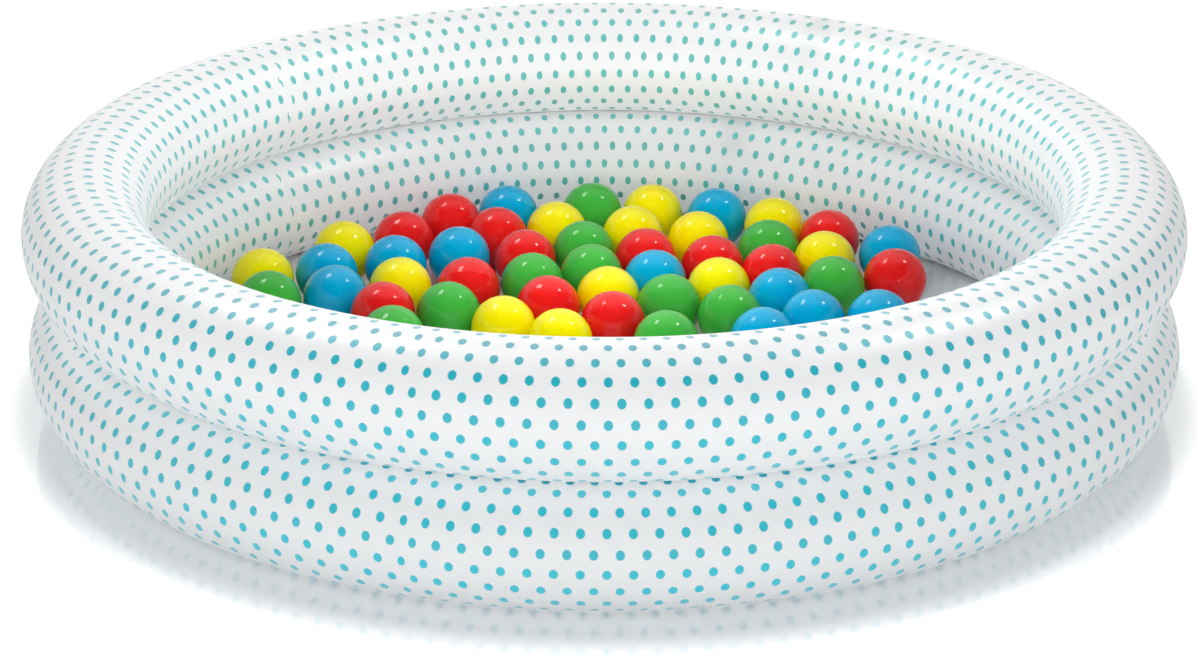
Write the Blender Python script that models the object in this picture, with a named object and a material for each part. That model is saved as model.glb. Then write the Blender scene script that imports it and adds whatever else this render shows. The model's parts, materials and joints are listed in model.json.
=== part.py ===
"""Round inflatable ball pit: two stacked air tubes, a floor sheet, two air valves and fifty balls.

Metres, +Z up. The origin is on the ground under the middle of the pit, and the front is towards -Y.
Each tube is a soft chamber, modelled as the solid that its air fills, with a pocket behind its valve.
"""
import math
from itertools import combinations

import bmesh
import bpy
from mathutils import Matrix, Vector

# Tubes
OUTER_DIAMETER = 1.110
TUBE_DIAMETER = 0.120
TUBE_FLAT_WIDTH = 0.026  # the strip that an inflated tube presses flat on what carries it
TUBE_SIDES = 64
QUARTER_STEPS = 4

# Sheet and band
FLOOR_THICKNESS = 0.0004
FLOOR_WELD_MARGIN = 0.004  # how far the floor sheet runs out past the flat of the lower tube
BAND_THICKNESS = 0.0005
BAND_FIN = 0.003  # how far the weld band shows past the flats, inside and outside
SEAT_GAP = 0.0003  # between pieces that touch

# Balls
BALL_DIAMETER = 0.065
BALL_SIDES = 12
BALL_RINGS = 8
BALL_SPACING = 0.0006  # least space between two balls
SETTLING_PASSES = 300

# Valves, measured along the axis that points out of the tube
UPPER_VALVE_DIRECTION = math.radians(64)
LOWER_VALVE_DIRECTION = math.radians(74)
TURNED_SIDES = 16
FLANGE_DIAMETER = 0.034
FLANGE_STAND = 0.0010  # how far the welded flange stands out of the tube
SEAT_DEPTH = 0.0080  # length of the hole that guides the neck
POCKET_DIAMETER = 0.030
POCKET_DEPTH = 0.036
NECK_LENGTH = 0.0200
NECK_DIAMETER = 0.0140
BORE_DIAMETER = 0.0100
COLLAR_DIAMETER = 0.0220
COLLAR_THICKNESS = 0.0012
LUG_REACH = 0.0170  # from the valve's axis to the end of the lug that holds the strap
LUG_WIDTH = 0.0060
PLUG_HEAD_DIAMETER = 0.0140
PLUG_HEAD_THICKNESS = 0.0016
STOPPER_TOP_DIAMETER = 0.0092
STOPPER_TIP_DIAMETER = 0.0074
STOPPER_LENGTH = 0.0050
STRAP_WIDTH = 0.0040
STRAP_THICKNESS = 0.0012
STRAP_HINGE_DISTANCE = 0.0150  # from the valve's axis to the strap's bend
STRAP_ROLL_DIAMETER = 0.0016
FLAP_DIAMETER = 0.0128
FLAP_THICKNESS = 0.0008
FLAP_HINGE_INSET = 0.0002  # the flap's hinge line lies this far inside its edge

# Colours, as linear red, green and blue
VINYL_COLOUR = (0.84, 0.86, 0.87)
BAND_COLOUR = (0.45, 0.68, 0.71)
FLOOR_COLOUR = (0.72, 0.75, 0.77)
VALVE_COLOUR = (0.80, 0.82, 0.83)
BALL_COLOURS = {
    "yellow": (0.93, 0.72, 0.01),
    "red": (0.67, 0.02, 0.02),
    "green": (0.07, 0.38, 0.03),
    "blue": (0.00, 0.23, 0.50),
}
VINYL_ROUGHNESS = 0.32
BALL_ROUGHNESS = 0.22

# Where the balls lie, row by row from the back, as shares of the pit's inner radius
BALL_PLACE_SHARES = [
    ("blue", -0.24, 0.87), ("green", -0.03, 0.89), ("yellow", 0.12, 0.88), ("blue", 0.28, 0.85),
    ("red", -0.38, 0.81), ("yellow", 0.42, 0.78),
    ("red", -0.26, 0.71), ("yellow", -0.12, 0.75), ("yellow", 0.07, 0.72), ("yellow", 0.23, 0.68),
    ("red", 0.55, 0.69), ("yellow", -0.63, 0.61), ("red", -0.49, 0.68), ("green", 0.40, 0.62),
    ("blue", -0.35, 0.57), ("red", -0.19, 0.55), ("green", -0.05, 0.61), ("red", 0.10, 0.56),
    ("red", 0.26, 0.51), ("yellow", 0.53, 0.54), ("blue", 0.69, 0.58),
    ("yellow", -0.81, 0.42), ("blue", -0.66, 0.45), ("blue", -0.50, 0.51), ("green", -0.03, 0.45),
    ("blue", 0.12, 0.41), ("red", 0.40, 0.45), ("green", 0.54, 0.37), ("red", 0.69, 0.42),
    ("green", -0.78, 0.27), ("blue", -0.63, 0.31), ("yellow", -0.48, 0.36), ("red", -0.32, 0.36),
    ("green", -0.17, 0.39), ("yellow", 0.01, 0.30), ("yellow", 0.27, 0.36), ("blue", 0.41, 0.29),
    ("red", -0.51, 0.20), ("green", -0.36, 0.20), ("red", -0.13, 0.24), ("green", 0.15, 0.25),
    ("green", 0.29, 0.18), ("blue", 0.48, 0.15), ("blue", 0.63, 0.15),
    ("green", -0.48, 0.05), ("yellow", -0.23, 0.11), ("yellow", -0.10, 0.03), ("red", 0.02, 0.14),
    ("green", 0.14, 0.02), ("blue", 0.36, 0.04),
]

# Worked out from the sizes above
OUTER_RADIUS = OUTER_DIAMETER / 2
TUBE_RADIUS = TUBE_DIAMETER / 2
TUBE_CENTRE_RADIUS = OUTER_RADIUS - TUBE_RADIUS
PIT_INNER_RADIUS = OUTER_RADIUS - TUBE_DIAMETER
FLAT_ANGLE = math.asin(TUBE_FLAT_WIDTH / TUBE_DIAMETER)
FLAT_HEIGHT = TUBE_RADIUS * math.cos(FLAT_ANGLE)
LOWER_TUBE_HEIGHT = FLOOR_THICKNESS + SEAT_GAP + FLAT_HEIGHT
BAND_BOTTOM = LOWER_TUBE_HEIGHT + FLAT_HEIGHT + SEAT_GAP
UPPER_TUBE_HEIGHT = BAND_BOTTOM + BAND_THICKNESS + SEAT_GAP + FLAT_HEIGHT
BALL_RADIUS = BALL_DIAMETER / 2
BALL_HEIGHT = FLOOR_THICKNESS + SEAT_GAP + BALL_RADIUS
BALL_PITCH = BALL_DIAMETER + BALL_SPACING
COLLAR_FACE = FLANGE_STAND + SEAT_GAP + COLLAR_THICKNESS
NECK_END = COLLAR_FACE - NECK_LENGTH
FLAP_MIDDLE = NECK_END - SEAT_GAP - FLAP_THICKNESS / 2
STRAP_ROLL_RADIUS = STRAP_ROLL_DIAMETER / 2
STRAP_HINGE_HEIGHT = COLLAR_FACE + SEAT_GAP + STRAP_ROLL_RADIUS


def remove_everything():
    """Empty the scene that the script is run in."""
    for thing in list(bpy.data.objects):
        bpy.data.objects.remove(thing, do_unlink=True)


def material(name, colour, roughness):
    """A plain plastic or vinyl surface."""
    made = bpy.data.materials.new(name)
    made.use_nodes = True
    surface = made.node_tree.nodes["Principled BSDF"]
    surface.inputs["Base Color"].default_value = (*colour, 1.0)
    surface.inputs["Roughness"].default_value = roughness
    surface.inputs["Metallic"].default_value = 0.0
    return made


def add_object(name, form, surface, place):
    """Turn a finished bmesh into a smooth-shaded object at a place."""
    mesh = bpy.data.meshes.new(name)
    bmesh.ops.recalc_face_normals(form, faces=form.faces)
    form.to_mesh(mesh)
    form.free()
    mesh.shade_smooth()
    mesh.set_sharp_from_angle(angle=math.radians(40))
    mesh.materials.append(surface)
    return add_copy(name, mesh, place)


def add_copy(name, mesh, place):
    """Put an object that shows a mesh at a place."""
    made = bpy.data.objects.new(name, mesh)
    bpy.context.collection.objects.link(made)
    made.matrix_world = place
    return made


def turned(outline, sides):
    """Turn a closed outline of (radius, height) points about the Z axis."""
    form = bmesh.new()
    corners = []
    for radius, height in outline:
        corners.append(form.verts.new((radius, 0.0, height)))
    for first, second in zip(corners, corners[1:] + corners[:1]):
        form.edges.new((first, second))
    bmesh.ops.spin(
        form, geom=form.verts[:] + form.edges[:], cent=(0.0, 0.0, 0.0), axis=(0.0, 0.0, 1.0),
        angle=math.tau, steps=sides, use_merge=True, use_duplicate=False,
    )
    return form


def turned_solid(outline, sides):
    """Turn an open outline, from the axis at one end to the axis at the other, into a solid."""
    form = bmesh.new()
    rings = []
    for radius, height in outline:
        if radius == 0:
            rings.append([form.verts.new((0.0, 0.0, height))])
            continue
        ring = []
        for step in range(sides):
            angle = math.tau * step / sides
            ring.append(form.verts.new((radius * math.cos(angle), radius * math.sin(angle), height)))
        rings.append(ring)
    for lower, upper in zip(rings, rings[1:]):
        if len(lower) == 1:
            bridge_to_point(form, upper, lower[0])
        elif len(upper) == 1:
            bridge_to_point(form, lower, upper[0])
        else:
            bridge_rings(form, lower, upper)
    return form


def bridge_to_point(form, ring, point):
    """Close a ring with a fan of triangles."""
    for first, second in zip(ring, ring[1:] + ring[:1]):
        form.faces.new((first, second, point))


def bridge_rings(form, lower, upper):
    """Join two rings of equal count with four-sided faces."""
    count = len(lower)
    for step in range(count):
        after = (step + 1) % count
        form.faces.new((lower[step], lower[after], upper[after], upper[step]))


def box(low, high):
    """A box between two corners."""
    form = bmesh.new()
    middle = [(a + b) / 2 for a, b in zip(low, high)]
    spans = [b - a for a, b in zip(low, high)]
    shape = Matrix.Translation(middle) @ Matrix.Diagonal((*spans, 1.0))
    bmesh.ops.create_cube(form, size=1.0, matrix=shape)
    return form


def combine(target, form, place, operation):
    """Join a form to an object, or cut it out, with a hidden helper object."""
    helper = add_object(target.name + "_" + operation.lower(), form, target.active_material, place)
    helper.hide_render = True
    helper.display_type = "WIRE"
    change = target.modifiers.new(operation.capitalize(), "BOOLEAN")
    change.operation = operation
    change.solver = "EXACT"
    change.object = helper


def arc_points(start, end, steps):
    """Points of the tube's round section between two angles, as (radius, height) from its middle."""
    points = []
    for step in range(steps + 1):
        angle = start + (end - start) * step / steps
        points.append((TUBE_RADIUS * math.cos(angle), TUBE_RADIUS * math.sin(angle)))
    return points


def tube_outline(height, flat_on_top):
    """Section of one tube: round, with a flat underneath and, where it carries another, on top."""
    bottom = -math.pi / 2
    outer_rise = arc_points(bottom + FLAT_ANGLE, 0.0, QUARTER_STEPS)
    inner_fall = arc_points(math.pi, math.pi - bottom - FLAT_ANGLE, QUARTER_STEPS)
    if flat_on_top:
        outer_top = arc_points(0.0, -bottom - FLAT_ANGLE, QUARTER_STEPS)
        inner_top = arc_points(FLAT_ANGLE - bottom, math.pi, QUARTER_STEPS)
        points = outer_rise + outer_top[1:] + inner_top + inner_fall[1:]
    else:
        top = arc_points(0.0, math.pi, 2 * QUARTER_STEPS)
        points = outer_rise + top[1:] + inner_fall[1:]
    outline = []
    for across, up in points:
        outline.append((TUBE_CENTRE_RADIUS + across, height + up))
    return outline


def valve_place(direction, height):
    """Frame of a valve: +Z out of the tube, +Y up, at the tube's outermost line."""
    outward = Vector((math.cos(direction), math.sin(direction), 0.0))
    upward = Vector((0.0, 0.0, 1.0))
    sideways = upward.cross(outward)
    turn = Matrix((sideways, upward, outward)).transposed().to_4x4()
    return Matrix.Translation(outward * OUTER_RADIUS + upward * height) @ turn


def add_tube(name, height, flat_on_top, surface, valve_at):
    """One air tube with its welded valve flange, the hole for the neck and the pocket behind it."""
    form = turned(tube_outline(height, flat_on_top), TUBE_SIDES)
    tube = add_object(name, form, surface, Matrix.Identity(4))
    flange_radius = FLANGE_DIAMETER / 2
    flange = [(0, -SEAT_DEPTH), (flange_radius, -SEAT_DEPTH), (flange_radius, FLANGE_STAND), (0, FLANGE_STAND)]
    combine(tube, turned_solid(flange, TURNED_SIDES), valve_at, "UNION")
    guide_radius = NECK_DIAMETER / 2 + SEAT_GAP
    pocket_radius = POCKET_DIAMETER / 2
    overrun = FLANGE_STAND + COLLAR_THICKNESS
    hollow = [
        (0, -POCKET_DEPTH), (pocket_radius, -POCKET_DEPTH), (pocket_radius, -SEAT_DEPTH),
        (guide_radius, -SEAT_DEPTH), (guide_radius, overrun), (0, overrun),
    ]
    combine(tube, turned_solid(hollow, TURNED_SIDES), valve_at, "DIFFERENCE")
    return tube


def add_floor_sheet(surface):
    """The single sheet that closes the pit underneath, welded to the flat of the lower tube."""
    radius = TUBE_CENTRE_RADIUS + TUBE_FLAT_WIDTH / 2 + FLOOR_WELD_MARGIN
    outline = [(0, 0), (radius, 0), (radius, FLOOR_THICKNESS), (0, FLOOR_THICKNESS)]
    return add_object("floor_sheet", turned_solid(outline, TUBE_SIDES), surface, Matrix.Identity(4))


def add_weld_band(surface):
    """The narrow band that joins the two tubes."""
    half_width = TUBE_FLAT_WIDTH / 2 + BAND_FIN
    inner = TUBE_CENTRE_RADIUS - half_width
    outer = TUBE_CENTRE_RADIUS + half_width
    top = BAND_BOTTOM + BAND_THICKNESS
    outline = [(outer, BAND_BOTTOM), (outer, top), (inner, top), (inner, BAND_BOTTOM)]
    return add_object("weld_band", turned(outline, TUBE_SIDES), surface, Matrix.Identity(4))


def add_neck(name, surface, valve_at):
    """The valve's neck: a tube with a collar outside the flange, and the lug that holds the strap."""
    neck_radius = NECK_DIAMETER / 2
    bore_radius = BORE_DIAMETER / 2
    collar_radius = COLLAR_DIAMETER / 2
    collar_back = COLLAR_FACE - COLLAR_THICKNESS
    outline = [
        (bore_radius, NECK_END), (neck_radius, NECK_END), (neck_radius, collar_back),
        (collar_radius, collar_back), (collar_radius, COLLAR_FACE), (bore_radius, COLLAR_FACE),
    ]
    neck = add_object(name, turned(outline, TURNED_SIDES), surface, valve_at)
    lug_root = (collar_radius + neck_radius) / 2
    low = (-LUG_WIDTH / 2, lug_root, collar_back)
    high = (LUG_WIDTH / 2, LUG_REACH, COLLAR_FACE)
    combine(neck, box(low, high), valve_at, "UNION")
    return neck


def add_plug(name, surface, valve_at):
    """The stopper with its head and strap, turned about the roll at the end of the strap."""
    hinge = Vector((0.0, STRAP_HINGE_DISTANCE, STRAP_HINGE_HEIGHT))
    place = valve_at @ Matrix.Translation(hinge)
    head_back = COLLAR_FACE + SEAT_GAP
    head_front = head_back + PLUG_HEAD_THICKNESS
    stopper_tip = COLLAR_FACE - STOPPER_LENGTH
    head_radius = PLUG_HEAD_DIAMETER / 2
    outline = [
        (0, stopper_tip), (STOPPER_TIP_DIAMETER / 2, stopper_tip), (STOPPER_TOP_DIAMETER / 2, COLLAR_FACE),
        (STOPPER_TOP_DIAMETER / 2, head_back), (head_radius, head_back), (head_radius, head_front), (0, head_front),
    ]
    form = turned_solid(outline, TURNED_SIDES)
    bmesh.ops.translate(form, verts=form.verts, vec=-hinge)
    plug = add_object(name, form, surface, place)
    strap_low = (-STRAP_WIDTH / 2, head_radius / 2 - STRAP_HINGE_DISTANCE, -STRAP_THICKNESS / 2)
    strap_high = (STRAP_WIDTH / 2, 0.0, STRAP_THICKNESS / 2)
    combine(plug, box(strap_low, strap_high), place, "UNION")
    roll = [
        (0, -LUG_WIDTH / 2), (STRAP_ROLL_RADIUS, -LUG_WIDTH / 2), (STRAP_ROLL_RADIUS, LUG_WIDTH / 2), (0, LUG_WIDTH / 2),
    ]
    sideways = Matrix.Rotation(math.pi / 2, 4, "Y")
    combine(plug, turned_solid(roll, TURNED_SIDES), place @ sideways, "UNION")
    return plug


def add_flap(name, surface, valve_at):
    """The one-way flap behind the neck, turned about the hinge line near its upper edge."""
    radius = FLAP_DIAMETER / 2
    hinge = Vector((0.0, radius - FLAP_HINGE_INSET, FLAP_MIDDLE))
    back = -FLAP_THICKNESS / 2
    front = FLAP_THICKNESS / 2
    form = turned_solid([(0, back), (radius, back), (radius, front), (0, front)], TURNED_SIDES)
    bmesh.ops.translate(form, verts=form.verts, vec=(0.0, -hinge.y, 0.0))
    return add_object(name, form, surface, valve_at @ Matrix.Translation(hinge))


def add_valve(tube_name, surface, valve_at):
    """The three loose pieces of one valve. The plug and the flap ride on the neck."""
    neck = add_neck(tube_name + "_valve_neck", surface, valve_at)
    for piece in (
        add_plug(tube_name + "_valve_plug", surface, valve_at),
        add_flap(tube_name + "_valve_flap", surface, valve_at),
    ):
        where = piece.matrix_world.copy()
        piece.parent = neck
        piece.matrix_parent_inverse = valve_at.inverted()
        piece.matrix_world = where


def wall_limit():
    """How far from the middle a ball's centre can lie before the ball meets the lower tube."""
    reach = TUBE_RADIUS + BALL_RADIUS + BALL_SPACING
    rise = LOWER_TUBE_HEIGHT - BALL_HEIGHT
    return TUBE_CENTRE_RADIUS - math.sqrt(reach**2 - rise**2)


def settled_places():
    """The balls' places on the floor, nudged until no ball meets another or the wall."""
    places = []
    for _, across_share, back_share in BALL_PLACE_SHARES:
        places.append(Vector((across_share, back_share)) * PIT_INNER_RADIUS)
    limit = wall_limit()
    for _ in range(SETTLING_PASSES):
        for first, second in combinations(places, 2):
            apart = second - first
            overlap = BALL_PITCH - apart.length
            if overlap > 0:
                push = apart.normalized() * overlap / 2
                first -= push
                second += push
        for place in places:
            if place.length > limit:
                place *= limit / place.length
    return places


def add_balls():
    """All the balls, numbered by colour, each resting on the floor sheet."""
    meshes = {}
    counts = {}
    for (colour, _, _), place in zip(BALL_PLACE_SHARES, settled_places()):
        counts[colour] = counts.get(colour, 0) + 1
        name = f"{colour}_ball_{counts[colour]:02d}"
        at = Matrix.Translation((place.x, place.y, BALL_HEIGHT))
        if colour in meshes:
            add_copy(name, meshes[colour], at)
            continue
        surface = material(colour + "_ball_plastic", BALL_COLOURS[colour], BALL_ROUGHNESS)
        form = bmesh.new()
        bmesh.ops.create_uvsphere(form, u_segments=BALL_SIDES, v_segments=BALL_RINGS, radius=BALL_RADIUS)
        meshes[colour] = add_object(name, form, surface, at).data


def build():
    """Make the whole ball pit."""
    remove_everything()
    vinyl = material("vinyl", VINYL_COLOUR, VINYL_ROUGHNESS)
    valve_vinyl = material("valve_vinyl", VALVE_COLOUR, VINYL_ROUGHNESS)
    upper_valve_at = valve_place(UPPER_VALVE_DIRECTION, UPPER_TUBE_HEIGHT)
    lower_valve_at = valve_place(LOWER_VALVE_DIRECTION, LOWER_TUBE_HEIGHT)
    add_floor_sheet(material("floor_vinyl", FLOOR_COLOUR, VINYL_ROUGHNESS))
    add_tube("lower_tube", LOWER_TUBE_HEIGHT, True, vinyl, lower_valve_at)
    add_weld_band(material("band_vinyl", BAND_COLOUR, VINYL_ROUGHNESS))
    add_tube("upper_tube", UPPER_TUBE_HEIGHT, False, vinyl, upper_valve_at)
    add_valve("lower", valve_vinyl, lower_valve_at)
    add_valve("upper", valve_vinyl, upper_valve_at)
    add_balls()


build()
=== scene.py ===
import json
import math
import random

import bmesh
import bpy
import numpy as np
from mathutils import Euler, Matrix, Vector


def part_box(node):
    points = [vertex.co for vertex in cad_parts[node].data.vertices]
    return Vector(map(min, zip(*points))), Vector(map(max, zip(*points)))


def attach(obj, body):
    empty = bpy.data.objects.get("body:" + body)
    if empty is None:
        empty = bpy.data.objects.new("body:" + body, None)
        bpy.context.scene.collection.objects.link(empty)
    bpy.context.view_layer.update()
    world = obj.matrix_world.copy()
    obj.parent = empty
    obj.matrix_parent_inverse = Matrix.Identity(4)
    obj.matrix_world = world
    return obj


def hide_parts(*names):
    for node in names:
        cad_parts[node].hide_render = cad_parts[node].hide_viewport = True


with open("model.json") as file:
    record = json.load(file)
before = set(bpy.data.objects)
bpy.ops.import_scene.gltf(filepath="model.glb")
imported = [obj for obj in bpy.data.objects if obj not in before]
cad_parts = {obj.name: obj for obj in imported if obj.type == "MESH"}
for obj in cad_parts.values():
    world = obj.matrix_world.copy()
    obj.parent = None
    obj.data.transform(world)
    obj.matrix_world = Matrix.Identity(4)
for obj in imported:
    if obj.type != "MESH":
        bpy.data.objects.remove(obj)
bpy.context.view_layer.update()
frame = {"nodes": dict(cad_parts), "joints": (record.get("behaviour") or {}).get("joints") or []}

# Camera, fitted to the outline of the pit in the photograph
IMAGE_WIDTH = 1200
FOCAL_LENGTH_PIXELS = 3289.7
SENSOR_WIDTH = 36.0  # millimetres, as Blender gives a sensor
NEAR_CLIP = 0.01
CAMERA_PLACE = (0.0, -2.988, 1.2458)
CAMERA_AIM = (-0.0041, 0.0, 0.0479)

# Tubes, in metres
TUBE_RADIUS = 0.060
AROUND_STEPS = 960
SECTION_STEPS = 96
TUBE_CREASE_DEGREES = 45  # sharper than this, an edge of the tube is not smoothed
FLAT_EASE = 0.00025  # how softly the round section runs into its flat
FLAT_HALF_WIDTH = 0.013
SWELL_DEPTH = 0.0005  # slow unevenness of the blown-up film
PUCKER_COUNT = 67  # pairs of small creases round one weld
INNER_PUCKER_DEPTH = 0.0016
OUTER_PUCKER_DEPTH = 0.0005
PUCKER_REACH = 0.016  # how quickly a crease fades away from its weld
LAP_DIRECTION = math.radians(138.5)  # where the two ends of the film are lapped
LAP_WIDTH = 0.010
LAP_STEP = 0.00045  # how far the upper end of the film stands up
LAP_EDGE_WIDTH = 0.0005
LAP_BARE_WIDTH = 0.0020  # the print stops this far from the lap's edge

# Dot print. Angles round the pit are measured from the front, and shifts are in dots or rows.
PRINT_FRONT = -math.pi / 2
DOTS_AROUND = 158.24  # as many as would go round at the spacing seen in front
DOT_LAG_ANGLES = np.radians((-131.5, -70, 48, 75, 125, 165, 183, 207, 228.5))
DOT_LAG = (-0.90, 0.0, 0.0, 0.65, 1.60, 2.0, 2.0, 2.18, 2.65)  # how many dots fewer there are by then
PANEL_JOINT = math.radians(-18)  # where a second panel of film begins
PANEL_JOINT_SHIFT = 0.17
PANEL_JOINT_WIDTH = math.radians(2)
ROW_PITCH = math.radians(17.65)  # from one row to the next, round the section
ROW_PITCH_SWING = math.radians(3.41)  # rows stand closer on one side of the section than on the other
ROW_SWING_FROM = math.radians(150)
LEFT_FROM = math.radians(-70)  # from here to LEFT_TO the rows inside the pit climb
LEFT_TO = math.radians(-105)
LEFT_ROW_SHIFT = 0.22
WELD_ROW_SHIFT = 0.30  # outside, beside the weld on top of the lower tube, the rows stand closer
WELD_ROW_FROM = math.radians(64)
WELD_ROW_TO = math.radians(76)
PUCKER_ROW_SHIFT = 0.12  # how far a crease draws the rows up or down
DRIFT_FROM = math.radians(-112)  # from the right, where the turn of the film swings furthest
# For each tube: where its dots and its rows start, how far its film is turned about the section,
# and how much that turn swings round the pit
LOWER_PRINT = (-0.40, 0.82, math.radians(-3.4), math.radians(4.0))
UPPER_PRINT = (0.15, 0.76, math.radians(-5.6), math.radians(5.2))
DOT_WIDTH_SHARE = 0.347  # of the distance between dots, which is less inside, where the film is gathered
DOT_HEIGHT_SHARE = 0.495  # of the distance between rows
DOT_EDGE_SHARE = 0.09  # how soft the edge of the ink is

# Valves. Heights are along the axis that points out of the tube, from the tube's skin.
FLANGE_RADIUS = 0.017
FLANGE_STAND = 0.0010
FLANGE_FLAT_RADIUS = 0.0118
GUIDE_RADIUS = 0.0073
GUIDE_WALL = 0.0009
GUIDE_DEPTH = 0.0080
RECESS_RADIUS = 0.0090
RECESS_DEPTH = 0.0300
FLANGE_BACK_RADIUS = 0.0146
SEAT_GAP = 0.0003
COLLAR_THICKNESS = 0.0012
COLLAR_RADIUS = 0.0110
NECK_RADIUS = 0.0070
NECK_LENGTH = 0.0200
BORE_RADIUS = 0.0050
LUG_REACH = 0.0170
LUG_WIDTH = 0.0060
PLUG_HEAD_RADIUS = 0.0070
PLUG_HEAD_THICKNESS = 0.0016
STOPPER_TOP_RADIUS = 0.0046
STOPPER_TIP_RADIUS = 0.0037
STOPPER_LENGTH = 0.0050
STRAP_WIDTH = 0.0040
STRAP_THICKNESS = 0.0012
STRAP_HINGE_DISTANCE = 0.0150
STRAP_ROLL_RADIUS = 0.0008
FLAP_RADIUS = 0.0064
FLAP_THICKNESS = 0.0008
EDGE_ROUNDING = 0.0002
TURNED_SIDES = 64
ROLL_SIDES = 24
COLLAR_FACE = FLANGE_STAND + SEAT_GAP + COLLAR_THICKNESS

# Balls
BALL_SIDES = 48
BALL_RINGS = 24
PARTING_HALF_WIDTH = 0.0005  # of the raised line where the halves of the mould meet
PARTING_HEIGHT = 0.00012
PIP_RADIUS = 0.0016  # of the mark that blowing leaves
PIP_HEIGHT = 0.0002
POLE_SHARE = 0.9999  # only the corner at the pole is higher than this share of the radius
BALL_TURN_SEED = 50

# Floor sheet and weld band
SHEET_SIDES = 240
SHEET_RINGS = 64
CREASE_HEIGHT = 0.0016
BALL_CLEAR_RADIUS = 0.012  # how far the creases keep from where a ball rests
BAND_SIDES = 720
BAND_RINGS = 6
BAND_WAVE = 0.00025  # the height of the waves in its edges
BAND_EDGE = 0.0008  # how far the band shows beyond the weld

# Materials and colours
MILLIMETRE = 0.001
FILM_GLOW_DEPTH = 0.50  # the tubes are hollow, so light that passes the milky film crosses them freely
FILM_WHITE = "#FAFAFC"
# painted shade: a thin grey line along the edge of the lapped film, where its raised end would shade
LAP_EDGE_SHADE_GREY = "#9FB0B6"
FRONT_INK = ("#00BAD0", "#10C4D4")  # the print is bluer in front and greener at the back
BACK_INK = ("#48B4B2", "#58BCB8")
FRONT_INK_TO = -0.50  # along the pit, from front to back
BACK_INK_FROM = 0.45
BALL_COLOURS = {
    "yellow": ("#FFEE00", "#FBE200"),
    "red": ("#F02018", "#E61A20"),
    "green": ("#4CB842", "#3CAE40"),
    "blue": ("#00B2DC", "#00A2D0"),
}

# Flat layout of the tubes for baked pictures
BAKE_ARCS = 3
BAKE_ARC_START = math.radians(-150)
BAKE_MARGIN_SHARE = 0.006

# Stage
FLOOR_REACH = 40.0
FLOOR_GAP = 0.0002  # between the floor and the pit
FLOOR_LIFT = 0.82  # keeps the floor white beyond the shadow, for the camera alone
FLOOR_LIFT_NEAR = 0.07  # the same under the pit and close to it
FLOOR_GLOW = 0.30  # light that the white floor sends up at the pit
FLOOR_LIFT_FROM = 0.55  # this far from the pit's middle, the lift and the glow begin to rise
FLOOR_LIFT_TO = 0.625
TENT_SIDE = 2.45  # a light tent: bright walls all round and a dim top
TENT_TOP = 0.10
TENT_SIDE_TO = 0.10  # the height of a direction, from 0 level to 1 straight up
TENT_TOP_FROM = 0.50
# Gloss mirrors a white backdrop behind and above the pit, and a dark room in front.
BACKDROP_DIRECTION = (0.0, 0.70, 0.714)
BACKDROP_FROM = 0.40  # how nearly a direction points at the backdrop's middle, from 0 across to 1 straight
BACKDROP_TO = 0.90
BACKDROP_MIRRORED = 1.24
ROOM_MIRRORED = 0.02
WHITE = (1.0, 1.0, 1.0)
COOL_WHITE = (0.94, 0.98, 1.0)
LAMPS = [
    # name, place, what it is aimed at, size across and deep, colour, watts, shines, is mirrored in gloss
    ("left_softbox", (-0.95, 0.80, 2.20), (0, 0, 0), (0.80, 0.45), WHITE, 8.5, False, True),
    ("right_softbox", (1.30, 0.42, 2.05), (0, 0, 0), (0.36, 0.34), WHITE, 6.0, False, True),
    ("inner_panel", (0.0, 0.0, 0.36), (0, 0, 0), (0.74, 0.74), COOL_WHITE, 0.80, True, False),
    ("inner_back_panel", (0.0, 0.06, 0.42), (0, 0.42, 0.03), (0.55, 0.22), COOL_WHITE, 0.32, True, False),
    ("inner_front_panel", (0.0, -0.06, 0.42), (0, -0.42, 0.03), (0.55, 0.22), COOL_WHITE, 0.46, True, False),
    ("inner_left_panel", (-0.06, 0.0, 0.42), (-0.42, 0, 0.03), (0.55, 0.22), COOL_WHITE, 0.44, True, False),
    ("inner_right_panel", (0.06, 0.0, 0.42), (0.42, 0, 0.03), (0.55, 0.22), COOL_WHITE, 0.50, True, False),
    ("front_panel", (0.0, -8.00, 2.40), (0, 0, 0), (6.00, 2.60), WHITE, 205.0, True, False),
    ("back_panel", (0.0, 8.00, 2.40), (0, 0, 0), (6.00, 2.60), WHITE, 95.0, True, False),
    ("left_panel", (-8.00, 0.0, 1.20), (0, 0, 0), (4.00, 2.00), WHITE, 50.0, True, False),
]


def linear(hex_colour):
    """An sRGB hex colour as linear red, green, blue and alpha."""
    values = []
    for start in (1, 3, 5):
        share = int(hex_colour[start:start + 2], 16) / 255
        values.append(share / 12.92 if share <= 0.04045 else ((share + 0.055) / 1.055) ** 2.4)
    return (*values, 1.0)


def add_node(tree, kind, settings=None, inputs=None):
    """Add a node with its settings. An input takes a value, or the output socket that feeds it."""
    node = tree.nodes.new(kind)
    for name, value in (settings or {}).items():
        setattr(node, name, value)
    for name, value in (inputs or {}).items():
        if isinstance(value, bpy.types.NodeSocket):
            tree.links.new(value, node.inputs[name])
        else:
            node.inputs[name].default_value = value
    return node


def new_material(name, ior):
    """A material with one shader, whose constant values sit on the shader's own sockets."""
    material = bpy.data.materials.new(name)
    material.use_nodes = True
    tree = material.node_tree
    surface = tree.nodes["Principled BSDF"]
    surface.inputs["IOR"].default_value = ior
    return material, tree, surface


def noise_scale(size):
    """Scale of a noise pattern whose features are this many metres across."""
    return 1 / size


def select_only(piece):
    """Leave one object selected and active."""
    if bpy.context.mode != "OBJECT":
        bpy.ops.object.mode_set(mode="OBJECT")
    bpy.ops.object.select_all(action="DESELECT")
    piece.select_set(True)
    bpy.context.view_layer.objects.active = piece


def clear_selection():
    """Deselect everything before a primitive is added."""
    if bpy.context.mode != "OBJECT":
        bpy.ops.object.mode_set(mode="OBJECT")
    bpy.ops.object.select_all(action="DESELECT")


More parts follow.
